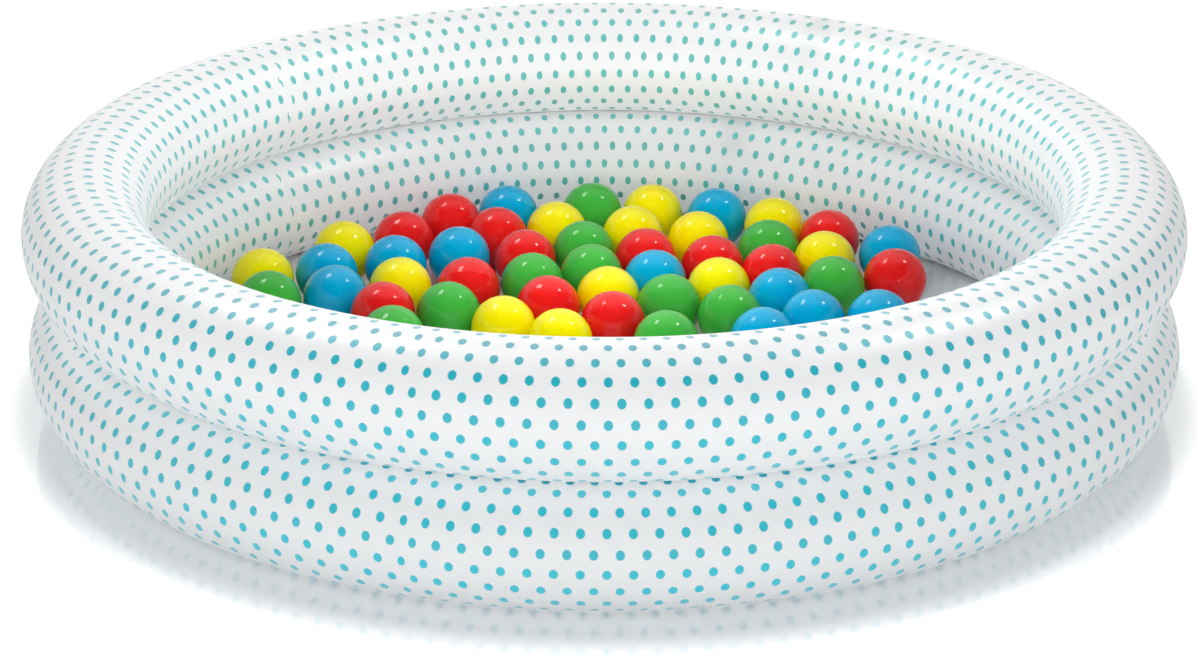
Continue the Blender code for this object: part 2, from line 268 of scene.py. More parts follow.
def added(name):
    """Name the primitive that was just added."""
    piece = bpy.context.object
    piece.name = name
    piece.data.name = name
    return piece


def apply_place(piece):
    """Put an object's place and turn into its mesh."""
    select_only(piece)
    bpy.ops.object.transform_apply(location=True, rotation=True, scale=True)


def apply_modifier(piece, kind, name, **settings):
    """Add one modifier and apply it."""
    select_only(piece)
    change = piece.modifiers.new(name, kind)
    for key, value in settings.items():
        setattr(change, key, value)
    bpy.ops.object.modifier_apply(modifier=change.name)


def combine(piece, other, operation):
    """Join another shape to a piece, or cut it out, and remove the other shape."""
    apply_modifier(piece, "BOOLEAN", operation.lower(), operation=operation, solver="EXACT", object=other)
    bpy.data.objects.remove(other, do_unlink=True)


def finish_piece(piece, material, body, crease_degrees=35):
    """Shade a finished piece, give it its material and let it ride on its body."""
    select_only(piece)
    bpy.ops.object.shade_smooth_by_angle(angle=math.radians(crease_degrees))
    piece.data.materials.clear()
    piece.data.materials.append(material)
    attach(piece, body)


def vertex_array(mesh):
    """The places of a mesh's corners as rows of three numbers."""
    places = np.empty(len(mesh.vertices) * 3)
    mesh.vertices.foreach_get("co", places)
    return places.reshape(-1, 3)


def set_vertices(mesh, places):
    """Move a mesh's corners."""
    mesh.vertices.foreach_set("co", places.astype(np.float32).ravel())
    mesh.update()


def smooth_step(low, high, values):
    """0 below low, 1 above high, with a soft rise between."""
    share = np.clip((values - low) / (high - low), 0, 1)
    return share * share * (3 - 2 * share)


def wrapped(angles):
    """Angles brought between minus and plus half a turn."""
    return (angles + math.pi) % math.tau - math.pi


# Tubes

class Tube:
    """Sizes of one tube, read from the CAD frame, and where its print begins."""

    def __init__(self, name, centre_height, print_start, row_start, drift_middle, drift_swing):
        low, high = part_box(name)
        self.name = name
        self.outer_radius = high.x
        self.centre_radius = high.x - TUBE_RADIUS
        self.centre_height = centre_height
        self.bottom = low.z
        self.top = high.z
        self.print_start = print_start
        self.row_start = row_start
        self.drift_middle = drift_middle
        self.drift_swing = drift_swing
        neck = name.replace("tube", "valve_neck")
        slide = next(joint for joint in frame["joints"] if joint["child"] == neck)
        self.valve_axis = Vector(slide["axis"]).normalized()
        sideways = Vector((0, 0, 1)).cross(self.valve_axis)
        turn = Matrix((sideways, Vector((0, 0, 1)), self.valve_axis)).transposed().to_4x4()
        place = self.valve_axis * self.outer_radius + Vector((0, 0, centre_height))
        self.valve_place = Matrix.Translation(place) @ turn


def tube_angles(tube, places):
    """Angle round the pit and angle round the section, for rows of places."""
    around = np.arctan2(places[:, 1], places[:, 0])
    across = np.hypot(places[:, 0], places[:, 1]) - tube.centre_radius
    section = np.arctan2(places[:, 2] - tube.centre_height, across)
    return around, section


def pucker_pattern(around, phase):
    """Uneven creases round a weld: 1 in the bottom of a crease, 0 between creases."""
    wander = 2.2 * np.sin(5 * around + phase) + 1.4 * np.sin(11 * around + 2 * phase) + np.sin(23 * around)
    ridge = np.abs(np.sin(PUCKER_COUNT * around + wander))
    strength = 0.55 + 0.3 * np.sin(3 * around + phase) + 0.15 * np.sin(17 * around + 3 * phase)
    return (1 - ridge) ** 2 * strength


def weld_distance(section, weld_angle):
    """Distance along the section from the middle of a weld."""
    return np.abs(wrapped(section - weld_angle)) * TUBE_RADIUS


def pucker_depth(around, section, welds):
    """How far the film is drawn in by the creases beside its welds."""
    inner_share = (1 - np.cos(section)) / 2
    depth = OUTER_PUCKER_DEPTH + (INNER_PUCKER_DEPTH - OUTER_PUCKER_DEPTH) * inner_share
    total = np.zeros_like(section)
    for number, weld_angle in enumerate(welds):
        away = weld_distance(section, weld_angle)
        rise = smooth_step(FLAT_HALF_WIDTH * 0.8, FLAT_HALF_WIDTH * 1.3, away)
        fade = np.exp(-np.maximum(away - FLAT_HALF_WIDTH, 0) / PUCKER_REACH)
        total += depth * rise * fade * pucker_pattern(around, 1.0 + number)
    return total


def swell(around, section):
    """Slow unevenness, never outwards."""
    waves = np.sin(3 * around + 2 * section) + np.sin(7 * around - section + 1) + np.sin(13 * around + 0.5)
    return -SWELL_DEPTH * (0.5 + waves / 6)


def snap_lap_edge(around, tube):
    """Draw the two rings of points nearest to the lap's edge close to it, to make it crisp."""
    beside = wrapped(around - LAP_DIRECTION)
    step = math.tau / AROUND_STEPS
    edge = LAP_EDGE_WIDTH / 2 / tube.centre_radius
    near = np.abs(beside) < step
    return np.where(near, LAP_DIRECTION + np.sign(beside) * edge, around)


def soft_limit(heights, limit):
    """Heights that run softly into a flat and never pass it."""
    return limit - FLAT_EASE * np.logaddexp(0, (limit - heights) / FLAT_EASE)


def tube_welds(tube, has_top_weld):
    """The section angles of a tube's welds."""
    return (-math.pi / 2, math.pi / 2) if has_top_weld else (-math.pi / 2,)


def shape_tube(piece, tube, welds):
    """Turn a plain ring into blown-up film: flats, creases beside the welds, and the lapped joint."""
    places = vertex_array(piece.data)
    around, section = tube_angles(tube, places)
    around = snap_lap_edge(around, tube)
    beside_lap = wrapped(around - LAP_DIRECTION) * tube.centre_radius
    lap = smooth_step(0, LAP_EDGE_WIDTH / 2, beside_lap) * smooth_step(1.5 * LAP_WIDTH, LAP_WIDTH, beside_lap)
    radius = TUBE_RADIUS + swell(around, section) - pucker_depth(around, section, welds) + LAP_STEP * lap
    across = radius * np.cos(section)
    height = radius * np.sin(section)
    height = -soft_limit(-height, tube.centre_height - tube.bottom)
    height = soft_limit(height, tube.top - tube.centre_height)
    places[:, 0] = (tube.centre_radius + across) * np.cos(around)
    places[:, 1] = (tube.centre_radius + across) * np.sin(around)
    places[:, 2] = tube.centre_height + height
    set_vertices(piece.data, places)


def print_map(piece, tube, welds):
    """Lay the print on the film: one unit across per dot and one unit up per row."""
    mesh = piece.data
    places = vertex_array(mesh)
    corner_points = np.empty(len(mesh.loops), dtype=np.int64)
    mesh.loops.foreach_get("vertex_index", corner_points)
    face_sizes = np.empty(len(mesh.polygons), dtype=np.int64)
    mesh.polygons.foreach_get("loop_total", face_sizes)
    centres = np.empty(len(mesh.polygons) * 3)
    mesh.polygons.foreach_get("center", centres)
    around, section = tube_angles(tube, places[corner_points])
    face_around, face_section = tube_angles(tube, centres.reshape(-1, 3))
    face_around = np.repeat(face_around, face_sizes)
    face_section = np.repeat(face_section, face_sizes)
    after_lap = (face_around - LAP_DIRECTION - LAP_EDGE_WIDTH / 3 / tube.centre_radius) % math.tau
    from_lap = after_lap + wrapped(around - face_around)
    from_front = from_lap + LAP_DIRECTION - math.tau - PRINT_FRONT
    from_bottom = (face_section + math.pi / 2) % math.tau + wrapped(section - face_section)
    section = from_bottom - math.pi / 2
    drift = tube.drift_middle + tube.drift_swing * np.cos(around - DRIFT_FROM)
    pull = pucker_depth(around, section, welds) / INNER_PUCKER_DEPTH
    lag = np.interp(from_front, DOT_LAG_ANGLES, DOT_LAG)
    columns = DOTS_AROUND * from_front / math.tau - lag - tube.print_start
    columns -= PANEL_JOINT_SHIFT * smooth_step(PANEL_JOINT + PANEL_JOINT_WIDTH, PANEL_JOINT, from_front)
    rows = (section - ROW_PITCH_SWING * np.sin(section - ROW_SWING_FROM) - drift) / ROW_PITCH - tube.row_start
    rows += LEFT_ROW_SHIFT * (1 - np.cos(section)) / 2 * smooth_step(LEFT_FROM, LEFT_TO, from_front)
    if len(welds) > 1:
        rows += WELD_ROW_SHIFT * smooth_step(WELD_ROW_FROM, WELD_ROW_TO, section) * (np.cos(section) > 0)
    rows += PUCKER_ROW_SHIFT * pull * np.sin(9 * around)
    layer = mesh.uv_layers.new(name="print")
    layer.data.foreach_set("uv", np.stack((columns, rows), axis=1).astype(np.float32).ravel())
    bake_map(mesh, face_around, around, from_bottom)


def bake_map(mesh, face_around, around, from_bottom):
    """A flat layout without overlaps: three arcs of the tube, one above another, at nearly one scale."""
    start = (face_around - BAKE_ARC_START) % math.tau
    turned = start + wrapped(around - face_around)
    arc_angle = math.tau / BAKE_ARCS
    arc = np.floor(start / arc_angle)
    usable = 1 - 2 * BAKE_MARGIN_SHARE
    strip = 1 / BAKE_ARCS
    across = BAKE_MARGIN_SHARE + usable * (turned - arc * arc_angle) / arc_angle
    up = arc * strip + BAKE_MARGIN_SHARE + (strip - 2 * BAKE_MARGIN_SHARE) * from_bottom / math.tau
    layer = mesh.uv_layers.new(name="OFBake")
    layer.data.foreach_set("uv", np.stack((across, up), axis=1).astype(np.float32).ravel())


def mark_lap(piece, tube):
    """Give each corner its distance from the lap's edge, for the material."""
    mesh = piece.data
    around, _ = tube_angles(tube, vertex_array(mesh))
    beside = wrapped(around - LAP_DIRECTION) * tube.centre_radius
    layer = mesh.attributes.new("beside_lap", "FLOAT", "POINT")
    layer.data.foreach_set("value", beside.astype(np.float32))


def add_tube(tube, material, has_top_weld):
    """One printed air tube with the round recess behind its valve."""
    clear_selection()
    bpy.ops.mesh.primitive_torus_add(
        location=(0, 0, tube.centre_height), major_segments=AROUND_STEPS, minor_segments=SECTION_STEPS,
        major_radius=tube.centre_radius, minor_radius=TUBE_RADIUS, generate_uvs=False,
    )
    piece = added(tube.name + "_skin")
    apply_place(piece)
    welds = tube_welds(tube, has_top_weld)
    shape_tube(piece, tube, welds)
    clear_selection()
    overrun = FLANGE_STAND + COLLAR_THICKNESS
    depth = RECESS_DEPTH + overrun
    bpy.ops.mesh.primitive_cylinder_add(vertices=TURNED_SIDES, radius=RECESS_RADIUS, depth=depth)
    cutter = added("recess_cutter")
    middle = Matrix.Translation((0, 0, (overrun - RECESS_DEPTH) / 2))
    cutter.data.transform(tube.valve_place @ middle)
    combine(piece, cutter, "DIFFERENCE")
    print_map(piece, tube, welds)
    mark_lap(piece, tube)
    finish_piece(piece, material, "pit", TUBE_CREASE_DEGREES)
    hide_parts(tube.name)


# Printed film

def printed_film():
    """Calendered PVC film, welded and blown up: milky satin white with a clear coat over the teal dots.

    Light goes into the bare film and through the hollow tube, and not into the ink.
    """
    material, tree, surface = new_material("printed_pvc_film", 1.53)
    surface.inputs["Specular IOR Level"].default_value = 0.4
    surface.inputs["Coat Weight"].default_value = 1.0
    surface.inputs["Coat IOR"].default_value = 1.8
    surface.inputs["Coat Roughness"].default_value = 0.4
    surface.inputs["Subsurface Radius"].default_value = (1.0, 1.0, 1.0)
    surface.inputs["Subsurface Scale"].default_value = FILM_GLOW_DEPTH
    surface.inputs["Sheen Weight"].default_value = 0.15
    surface.inputs["Sheen Roughness"].default_value = 0.35
    place = add_node(tree, "ShaderNodeTexCoord").outputs["Object"]
    cells = add_node(tree, "ShaderNodeUVMap", {"uv_map": "print"}).outputs["UV"]
    cell = add_node(tree, "ShaderNodeSeparateXYZ", inputs={"Vector": cells})
    row = add_node(tree, "ShaderNodeMath", {"operation": "ROUND"}, {0: cell.outputs["Y"]})
    shifted = add_node(
        tree, "ShaderNodeMath", {"operation": "MULTIPLY_ADD"},
        {0: row.outputs[0], 1: 0.5, 2: cell.outputs["X"]},
    )
    column = add_node(tree, "ShaderNodeMath", {"operation": "ROUND"}, {0: shifted.outputs[0]})
    beside = add_node(
        tree, "ShaderNodeMath", {"operation": "SUBTRACT"}, {0: shifted.outputs[0], 1: column.outputs[0]},
    )
    above = add_node(
        tree, "ShaderNodeMath", {"operation": "SUBTRACT"}, {0: cell.outputs["Y"], 1: row.outputs[0]},
    )
    across = add_node(
        tree, "ShaderNodeMath", {"operation": "DIVIDE"}, {0: beside.outputs[0], 1: DOT_WIDTH_SHARE / 2},
    )
    along = add_node(
        tree, "ShaderNodeMath", {"operation": "DIVIDE"}, {0: above.outputs[0], 1: DOT_HEIGHT_SHARE / 2},
    )
    offset = add_node(tree, "ShaderNodeCombineXYZ", inputs={"X": across.outputs[0], "Y": along.outputs[0]})
    reach = add_node(tree, "ShaderNodeVectorMath", {"operation": "LENGTH"}, {0: offset.outputs["Vector"]})
    dot = add_node(
        tree, "ShaderNodeMapRange", {"interpolation_type": "SMOOTHSTEP"},
        {"Value": reach.outputs["Value"], "From Min": 1 + DOT_EDGE_SHARE, "From Max": 1 - DOT_EDGE_SHARE},
    )
    lap = add_node(tree, "ShaderNodeAttribute", {"attribute_name": "beside_lap"})
    from_edge = add_node(tree, "ShaderNodeMath", {"operation": "ABSOLUTE"}, {0: lap.outputs["Fac"]})
    unlapped = add_node(
        tree, "ShaderNodeMapRange",
        inputs={"Value": from_edge.outputs[0], "From Min": LAP_BARE_WIDTH, "From Max": 1.2 * LAP_BARE_WIDTH},
    )
    ink = add_node(
        tree, "ShaderNodeMath", {"operation": "MULTIPLY"},
        {0: dot.outputs["Result"], 1: unlapped.outputs["Result"]},
    )
    cloud = add_node(
        tree, "ShaderNodeTexNoise",
        inputs={"Vector": place, "Scale": noise_scale(60 * MILLIMETRE), "Detail": 2.0},
    )
    density = add_node(
        tree, "ShaderNodeTexNoise",
        inputs={"Vector": place, "Scale": noise_scale(9 * MILLIMETRE), "Detail": 1.0},
    )
    clear = add_node(
        tree, "ShaderNodeMapRange",
        inputs={"Value": ink.outputs[0], "From Min": 0.02, "From Max": 0.3, "To Min": 0.9, "To Max": 0.0},
    )
    tree.links.new(clear.outputs["Result"], surface.inputs["Subsurface Weight"])
    axes = add_node(tree, "ShaderNodeSeparateXYZ", inputs={"Vector": place})
    # the ink turns from bluer in front to greener and less saturated at the back, by its place along the pit
    front_to_back = add_node(
        tree, "ShaderNodeMapRange",
        inputs={"Value": axes.outputs["Y"], "From Min": FRONT_INK_TO, "From Max": BACK_INK_FROM},
    )
    bluer = add_node(
        tree, "ShaderNodeMix", {"data_type": "RGBA"},
        {"Factor": density.outputs["Fac"], "A": linear(FRONT_INK[0]), "B": linear(FRONT_INK[1])},
    )
    greener = add_node(
        tree, "ShaderNodeMix", {"data_type": "RGBA"},
        {"Factor": density.outputs["Fac"], "A": linear(BACK_INK[0]), "B": linear(BACK_INK[1])},
    )
    teal = add_node(
        tree, "ShaderNodeMix", {"data_type": "RGBA"},
        {"Factor": front_to_back.outputs["Result"], "A": bluer.outputs["Result"], "B": greener.outputs["Result"]},
    )
    printed = add_node(
        tree, "ShaderNodeMix", {"data_type": "RGBA"},
        {"Factor": ink.outputs[0], "A": linear(FILM_WHITE), "B": teal.outputs["Result"]},
    )
    # painted shade along the lap's raised edge: the film turns a quarter of the way to grey there
    line = add_node(
        tree, "ShaderNodeMapRange",
        inputs={"Value": from_edge.outputs[0], "From Min": LAP_EDGE_WIDTH, "From Max": 0.0, "To Max": 0.25},
    )
    lap_shaded = add_node(
        tree, "ShaderNodeMix", {"data_type": "RGBA"},
        {"Factor": line.outputs["Result"], "A": printed.outputs["Result"], "B": linear(LAP_EDGE_SHADE_GREY)},
    )
    tree.links.new(lap_shaded.outputs["Result"], surface.inputs["Base Color"])
    gloss = add_node(
        tree, "ShaderNodeMapRange", inputs={"Value": cloud.outputs["Fac"], "To Min": 0.36, "To Max": 0.44},
    )
    tree.links.new(gloss.outputs["Result"], surface.inputs["Roughness"])
    ripple = add_node(
        tree, "ShaderNodeTexNoise",
        inputs={"Vector": place, "Scale": noise_scale(40 * MILLIMETRE), "Detail": 1.0},
    )
    bump = add_node(
        tree, "ShaderNodeBump",
        inputs={"Strength": 0.15, "Distance": 0.4 * MILLIMETRE, "Height": ripple.outputs["Fac"]},
    )
    tree.links.new(bump.outputs["Normal"], surface.inputs["Normal"])
    return material


def plain_film(name, light_hex, dark_hex, roughness, glow):
    """Calendered PVC film without a print: smooth, glossy, slightly cloudy, and milky by its glow."""
    material, tree, surface = new_material(name, 1.53)
    surface.inputs["Roughness"].default_value = roughness
    surface.inputs["Coat Weight"].default_value = 1.0
    surface.inputs["Coat IOR"].default_value = 1.8
    surface.inputs["Coat Roughness"].default_value = 0.2
    surface.inputs["Sheen Weight"].default_value = 0.3
    surface.inputs["Sheen Roughness"].default_value = 0.35
    surface.inputs["Subsurface Weight"].default_value = glow
    surface.inputs["Subsurface Radius"].default_value = (1.0, 1.0, 1.0)
    surface.inputs["Subsurface Scale"].default_value = 20 * MILLIMETRE
    place = add_node(tree, "ShaderNodeTexCoord").outputs["Object"]
    cloud = add_node(
        tree, "ShaderNodeTexNoise",
        inputs={"Vector": place, "Scale": noise_scale(45 * MILLIMETRE), "Detail": 3.0},
    )
    film = add_node(
        tree, "ShaderNodeMix", {"data_type": "RGBA"},
        {"Factor": cloud.outputs["Fac"], "A": linear(dark_hex), "B": linear(light_hex)},
    )
    tree.links.new(film.outputs["Result"], surface.inputs["Base Color"])
    grain = add_node(
        tree, "ShaderNodeTexNoise",
        inputs={"Vector": place, "Scale": noise_scale(3 * MILLIMETRE), "Detail": 2.0},
    )
    bump = add_node(
        tree, "ShaderNodeBump",
        inputs={"Strength": 0.2, "Distance": 0.2 * MILLIMETRE, "Height": grain.outputs["Fac"]},
    )
    tree.links.new(bump.outputs["Normal"], surface.inputs["Normal"])
    return material


def soft_pvc():
    """Injection moulded soft PVC, milky white: light sinks in a little, edges look soft."""
    material, tree, surface = new_material("soft_moulded_pvc", 1.53)
    surface.inputs["Roughness"].default_value = 0.3
    surface.inputs["Subsurface Weight"].default_value = 0.25
    surface.inputs["Subsurface Radius"].default_value = (1.0, 1.0, 0.9)
    surface.inputs["Subsurface Scale"].default_value = 2 * MILLIMETRE
    place = add_node(tree, "ShaderNodeTexCoord").outputs["Object"]
    cloud = add_node(
        tree, "ShaderNodeTexNoise",
        inputs={"Vector": place, "Scale": noise_scale(4 * MILLIMETRE), "Detail": 2.0},
    )
    milk = add_node(
        tree, "ShaderNodeMix", {"data_type": "RGBA"},
        {"Factor": cloud.outputs["Fac"], "A": linear("#E1E4E4"), "B": linear("#ECEDEC")},
    )
    tree.links.new(milk.outputs["Result"], surface.inputs["Base Color"])
    bump = add_node(
        tree, "ShaderNodeBump",
        inputs={"Strength": 0.15, "Distance": 0.1 * MILLIMETRE, "Height": cloud.outputs["Fac"]},
    )
    tree.links.new(bump.outputs["Normal"], surface.inputs["Normal"])
    return material


def ball_plastic(colour_name, light_hex, deep_hex):
    """Blow moulded soft polyethylene: clean bright colour that light sinks into, glossy, faintly uneven."""
    material, tree, surface = new_material(colour_name + "_moulded_polyethylene", 1.51)
    surface.inputs["Specular IOR Level"].default_value = 0.3
    surface.inputs["Subsurface Weight"].default_value = 0.4
    surface.inputs["Subsurface Radius"].default_value = (1.0, 1.0, 1.0)
    surface.inputs["Subsurface Scale"].default_value = 15 * MILLIMETRE
    place = add_node(tree, "ShaderNodeTexCoord").outputs["Object"]
    cloud = add_node(
        tree, "ShaderNodeTexNoise",
        inputs={"Vector": place, "Scale": noise_scale(25 * MILLIMETRE), "Detail": 2.0},
    )
    colour = add_node(
        tree, "ShaderNodeMix", {"data_type": "RGBA"},
        {"Factor": cloud.outputs["Fac"], "A": linear(deep_hex), "B": linear(light_hex)},
    )
    tree.links.new(colour.outputs["Result"], surface.inputs["Base Color"])
    wear = add_node(
        tree, "ShaderNodeTexNoise",
        inputs={"Vector": place, "Scale": noise_scale(6 * MILLIMETRE), "Detail": 4.0},
    )
    gloss = add_node(
        tree, "ShaderNodeMapRange", inputs={"Value": wear.outputs["Fac"], "To Min": 0.07, "To Max": 0.11},
    )
    tree.links.new(gloss.outputs["Result"], surface.inputs["Roughness"])
    bump = add_node(
        tree, "ShaderNodeBump",
        inputs={"Strength": 0.12, "Distance": 0.3 * MILLIMETRE, "Height": cloud.outputs["Fac"]},
    )
    tree.links.new(bump.outputs["Normal"], surface.inputs["Normal"])
    return material


# Turned pieces

def turn_outline(name, outline, sides=TURNED_SIDES):
    """Extrude a circle along an outline of (radius, height). A closed outline ends where it starts."""
    clear_selection()
    first_radius, first_height = outline[0]
    bpy.ops.mesh.primitive_circle_add(
        vertices=sides, radius=first_radius, location=(0, 0, first_height), fill_type="NOTHING",
    )
    piece = added(name)
    apply_place(piece)
    closed = outline[0] == outline[-1]
    bpy.ops.object.mode_set(mode="EDIT")
    if not closed:
        bpy.ops.mesh.edge_face_add()
        form = bmesh.from_edit_mesh(piece.data)
        form.faces[0].select_set(False)
        # The face must not be extruded. Its edges lose their selection with it, so they are selected again.
        for edge in form.edges:
            edge.select_set(True)
        bmesh.update_edit_mesh(piece.data)
    for (radius, height), (next_radius, next_height) in zip(outline, outline[1:]):
        bpy.ops.mesh.select_mode(type="EDGE")
        bpy.ops.mesh.extrude_edges_move(TRANSFORM_OT_translate={"value": (0, 0, next_height - height)})
        growth = next_radius / radius
        bpy.ops.transform.resize(value=(growth, growth, 1), center_override=(0, 0, next_height))
    if not closed:
        bpy.ops.mesh.edge_face_add()
    bpy.ops.mesh.select_all(action="SELECT")
    bpy.ops.mesh.remove_doubles(threshold=0.000001)
    bpy.ops.mesh.normals_make_consistent(inside=False)
    bpy.ops.object.mode_set(mode="OBJECT")
    return piece


def rounded_box(name, low, high, rounding):
    """A box with rounded edges between two corners."""
    clear_selection()
    middle = [(a + b) / 2 for a, b in zip(low, high)]
    spans = [b - a for a, b in zip(low, high)]
    bpy.ops.mesh.primitive_cube_add(size=1, location=middle, scale=spans)
    piece = added(name)
    apply_place(piece)
    apply_modifier(piece, "BEVEL", "rounding", width=rounding, segments=3, limit_method="ANGLE")
    return piece


def place_piece(piece, place):
    """Put a piece that was made at the origin at its place, in its mesh."""
    piece.data.transform(place)


def add_flange(tube, material):
    """The disc that is welded to the film round the neck, draped over the tube, with its guide sleeve."""
    outline = [
        (GUIDE_RADIUS, -GUIDE_DEPTH),
        (GUIDE_RADIUS, FLANGE_STAND - EDGE_ROUNDING),
        (GUIDE_RADIUS + EDGE_ROUNDING, FLANGE_STAND),
        (FLANGE_FLAT_RADIUS, FLANGE_STAND),
        (FLANGE_FLAT_RADIUS + 3 * EDGE_ROUNDING, FLANGE_STAND - EDGE_ROUNDING),
        (FLANGE_FLAT_RADIUS + 6 * EDGE_ROUNDING, FLANGE_STAND - 2 * EDGE_ROUNDING),
        (FLANGE_RADIUS - 6 * EDGE_ROUNDING, FLANGE_STAND - 2 * EDGE_ROUNDING),
        (FLANGE_RADIUS - 4 * EDGE_ROUNDING, FLANGE_STAND - EDGE_ROUNDING),
        (FLANGE_RADIUS - 2 * EDGE_ROUNDING, FLANGE_STAND - EDGE_ROUNDING),
        (FLANGE_RADIUS, FLANGE_STAND - 3 * EDGE_ROUNDING),
        (FLANGE_RADIUS, 0.0),
        (FLANGE_BACK_RADIUS, 0.0),
        (GUIDE_RADIUS + GUIDE_WALL, -FLANGE_STAND),
        (GUIDE_RADIUS + GUIDE_WALL, -GUIDE_DEPTH),
        (GUIDE_RADIUS, -GUIDE_DEPTH),
    ]
    piece = turn_outline(tube.name.replace("tube", "valve_flange"), outline)
    places = vertex_array(piece.data)
    drop = places[:, 1] ** 2 / (2 * TUBE_RADIUS) + places[:, 0] ** 2 / (2 * tube.outer_radius)
    reach = np.hypot(places[:, 0], places[:, 1])
    places[:, 2] -= drop * smooth_step(FLANGE_FLAT_RADIUS * 0.85, FLANGE_RADIUS, reach)
    set_vertices(piece.data, places)
    place_piece(piece, tube.valve_place)
    finish_piece(piece, material, "pit")


def add_neck(tube, material):
    """The neck, pushed in through the flange: collar, bore with a rounded mouth, and strap lug."""
    neck_end = COLLAR_FACE - NECK_LENGTH
    collar_back = COLLAR_FACE - COLLAR_THICKNESS
    outline = [
        (BORE_RADIUS, neck_end),
        (NECK_RADIUS - EDGE_ROUNDING, neck_end),
        (NECK_RADIUS, neck_end + EDGE_ROUNDING),
        (NECK_RADIUS, collar_back),
        (COLLAR_RADIUS - EDGE_ROUNDING, collar_back),
        (COLLAR_RADIUS, collar_back + EDGE_ROUNDING),
        (COLLAR_RADIUS, COLLAR_FACE - EDGE_ROUNDING),
        (COLLAR_RADIUS - EDGE_ROUNDING, COLLAR_FACE),
        (BORE_RADIUS + EDGE_ROUNDING, COLLAR_FACE),
        (BORE_RADIUS, COLLAR_FACE - EDGE_ROUNDING),
        (BORE_RADIUS, neck_end),
    ]
    name = tube.name.replace("tube", "valve_neck")
    piece = turn_outline(name + "_moulding", outline)
    root = (COLLAR_RADIUS + NECK_RADIUS) / 2
    lug = rounded_box(
        "lug", (-LUG_WIDTH / 2, root, collar_back), (LUG_WIDTH / 2, LUG_REACH, COLLAR_FACE), EDGE_ROUNDING,
    )
    combine(piece, lug, "UNION")
    place_piece(piece, tube.valve_place)
    finish_piece(piece, material, name)
    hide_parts(name)


def add_plug(tube, material):
    """The stopper with its dished head, the strap and the roll that it bends about."""
    head_back = COLLAR_FACE + SEAT_GAP
    head_front = head_back + PLUG_HEAD_THICKNESS
    tip = COLLAR_FACE - STOPPER_LENGTH
    outline = [
        (STOPPER_TIP_RADIUS - 2 * EDGE_ROUNDING, tip),
        (STOPPER_TIP_RADIUS, tip + 2 * EDGE_ROUNDING),
        (STOPPER_TOP_RADIUS, COLLAR_FACE),
        (STOPPER_TOP_RADIUS, head_back),
        (PLUG_HEAD_RADIUS - EDGE_ROUNDING, head_back),
        (PLUG_HEAD_RADIUS, head_back + EDGE_ROUNDING),
        (PLUG_HEAD_RADIUS, head_front - 2 * EDGE_ROUNDING),
        (PLUG_HEAD_RADIUS - 2 * EDGE_ROUNDING, head_front),
        (PLUG_HEAD_RADIUS - 5 * EDGE_ROUNDING, head_front),
        (PLUG_HEAD_RADIUS - 7 * EDGE_ROUNDING, head_front - 2 * EDGE_ROUNDING),
    ]
    name = tube.name.replace("tube", "valve_plug")
    piece = turn_outline(name + "_moulding", outline)
    hinge_height = COLLAR_FACE + SEAT_GAP + STRAP_ROLL_RADIUS
    strap = rounded_box(
        "strap",
        (-STRAP_WIDTH / 2, PLUG_HEAD_RADIUS / 2, hinge_height - STRAP_THICKNESS / 2),
        (STRAP_WIDTH / 2, STRAP_HINGE_DISTANCE, hinge_height + STRAP_THICKNESS / 2), EDGE_ROUNDING,
    )
    combine(piece, strap, "UNION")
    roll = turn_outline(
        "roll",
        [
            (STRAP_ROLL_RADIUS - EDGE_ROUNDING, -LUG_WIDTH / 2),
            (STRAP_ROLL_RADIUS, EDGE_ROUNDING - LUG_WIDTH / 2),
            (STRAP_ROLL_RADIUS, LUG_WIDTH / 2 - EDGE_ROUNDING),
            (STRAP_ROLL_RADIUS - EDGE_ROUNDING, LUG_WIDTH / 2),
        ],
        sides=ROLL_SIDES,
    )
    along_strap = Matrix.Translation((0, STRAP_HINGE_DISTANCE, hinge_height))
    place_piece(roll, along_strap @ Matrix.Rotation(math.pi / 2, 4, "Y"))
    combine(piece, roll, "UNION")
    place_piece(piece, tube.valve_place)
    finish_piece(piece, material, name)
    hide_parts(name)


def add_flap(tube, material):
    """The one-way flap behind the neck: a thin disc with a rounded rim."""
    middle = COLLAR_FACE - NECK_LENGTH - SEAT_GAP - FLAP_THICKNESS / 2
    half = FLAP_THICKNESS / 2
    outline = [
        (FLAP_RADIUS - EDGE_ROUNDING, middle - half),
        (FLAP_RADIUS, middle - half + EDGE_ROUNDING),
        (FLAP_RADIUS, middle + half - EDGE_ROUNDING),
        (FLAP_RADIUS - EDGE_ROUNDING, middle + half),
    ]
    name = tube.name.replace("tube", "valve_flap")
    piece = turn_outline(name + "_moulding", outline)
    place_piece(piece, tube.valve_place)
    finish_piece(piece, material, name)
    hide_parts(name)


# Band and floor

def ring_sheet(name, inner, outer, rings, sides, height, thickness):
    """A flat ring, or a disc where inner is 0, with evenly spaced loops and a real thickness."""
    clear_selection()
    bpy.ops.mesh.primitive_circle_add(
        vertices=sides, radius=outer, location=(0, 0, height), fill_type="NOTHING",
    )
    piece = added(name)
    apply_place(piece)
    bpy.ops.object.mode_set(mode="EDIT")
    bpy.ops.mesh.select_mode(type="EDGE")
    steps = rings if inner > 0 else rings - 1
    radius = outer
    for step in range(1, steps + 1):
        next_radius = outer - (outer - inner) * step / rings
        bpy.ops.mesh.extrude_edges_move()
        growth = next_radius / radius
        bpy.ops.transform.resize(value=(growth, growth, 1), center_override=(0, 0, height))
        radius = next_radius
    if inner == 0:
        bpy.ops.mesh.edge_face_add()
        bpy.ops.mesh.select_mode(type="FACE")
        bpy.ops.mesh.poke()
    bpy.ops.mesh.select_all(action="SELECT")
    bpy.ops.mesh.normals_make_consistent(inside=False)
    bpy.ops.object.mode_set(mode="OBJECT")
    if piece.data.polygons[0].normal.z < 0:
        piece.data.flip_normals()
    apply_modifier(piece, "SOLIDIFY", "thickness", thickness=thickness, offset=1.0)
    return piece


def ball_names():
    """The CAD nodes that are balls."""
    return sorted(name for name in frame["nodes"] if "_ball_" in name)


